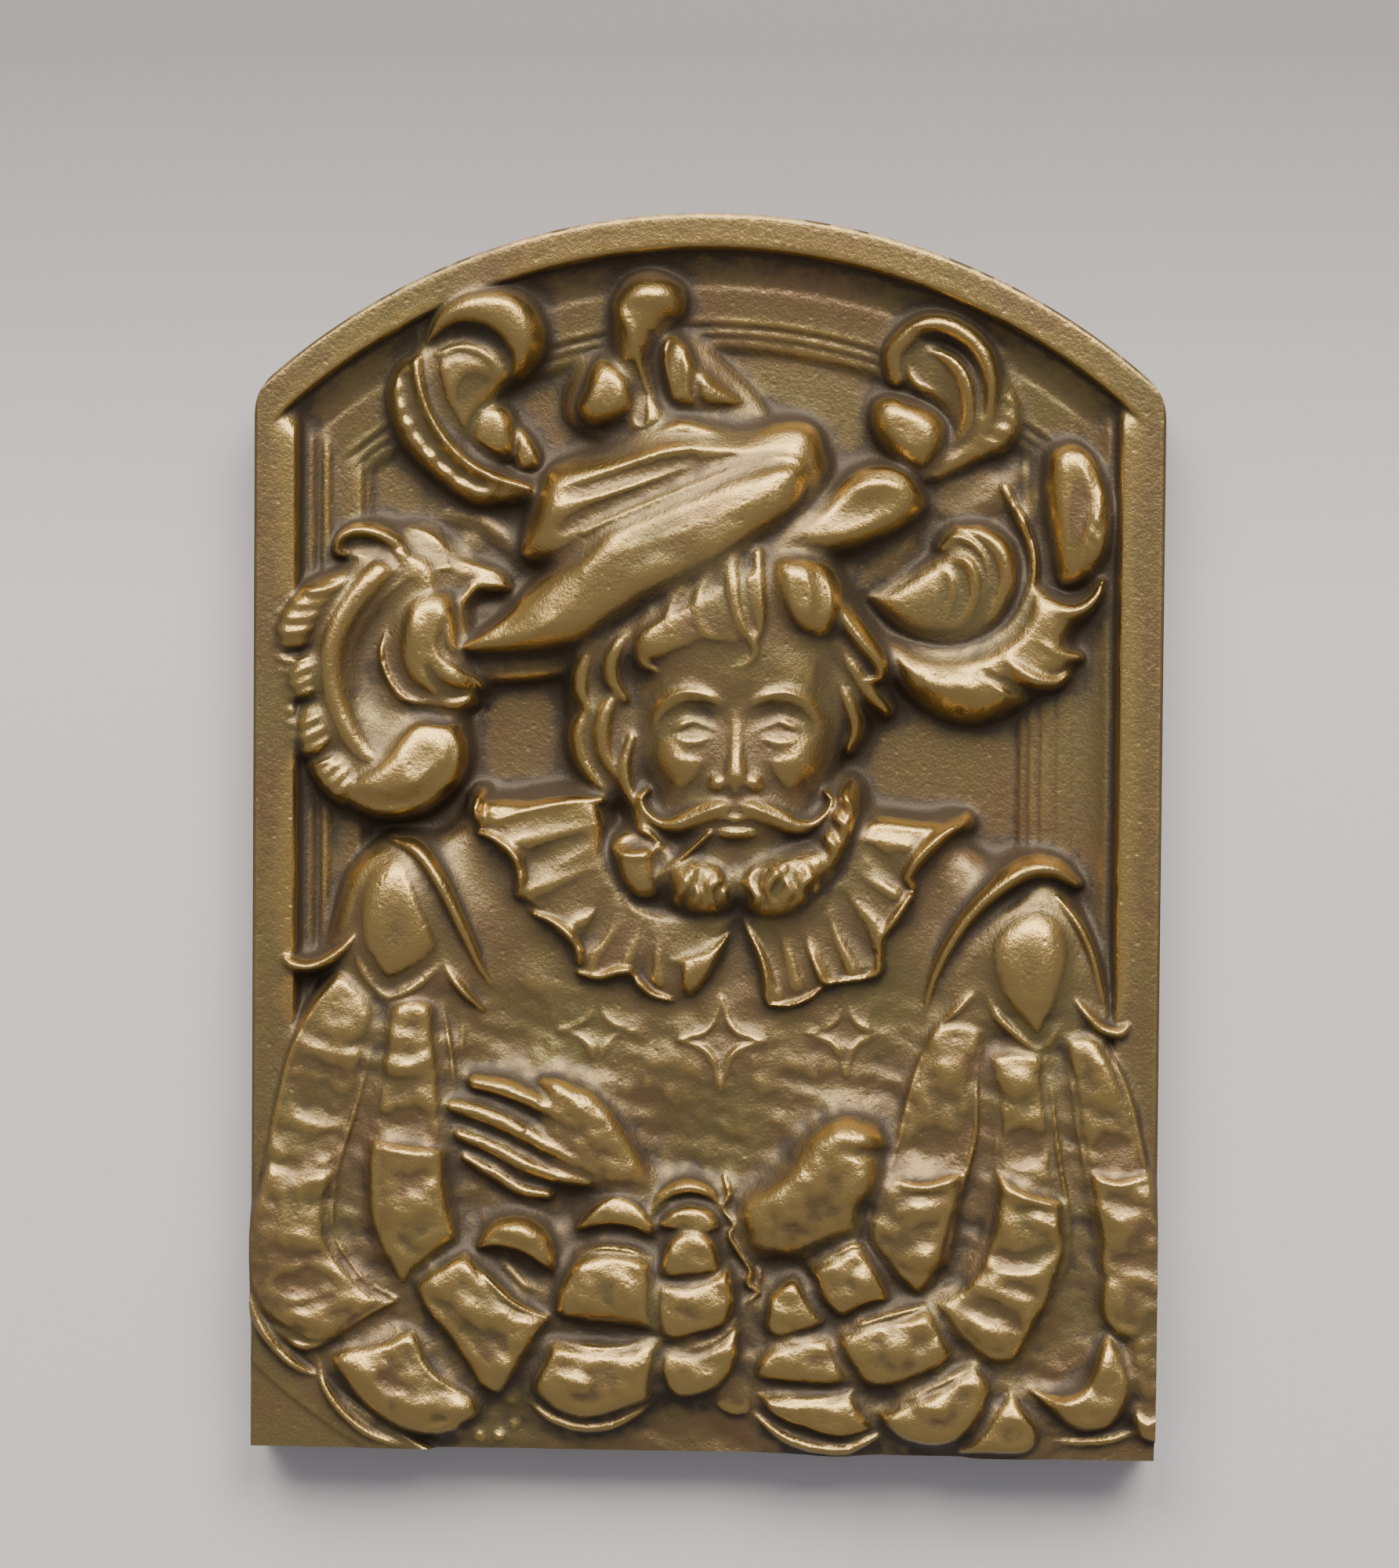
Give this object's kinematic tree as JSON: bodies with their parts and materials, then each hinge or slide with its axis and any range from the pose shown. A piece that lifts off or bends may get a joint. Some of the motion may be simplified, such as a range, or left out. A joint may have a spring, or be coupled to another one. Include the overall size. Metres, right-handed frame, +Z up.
{
  "type": "relief plaque",
  "caption": "Arched cast brass wall plaque with a moulded frame round a high relief of a bearded man in a plumed hat, ruff and slashed sleeves.",
  "frame": {"origin": "middle of the flat back, on the wall's plane, half way up the plaque", "axes": "+Z up the plaque, +X to the right seen from the front, +Y out of the back into the wall, so the relief faces -Y"},
  "size_m": [0.23, 0.0305, 0.3141],
  "materials": {
    "aged_brass": "aged, dull brown in the hollows and polished on the raised relief"
  },
  "bodies": {
    "root": {"relief_plaque": "aged_brass"}
  },
  "joints": []
}
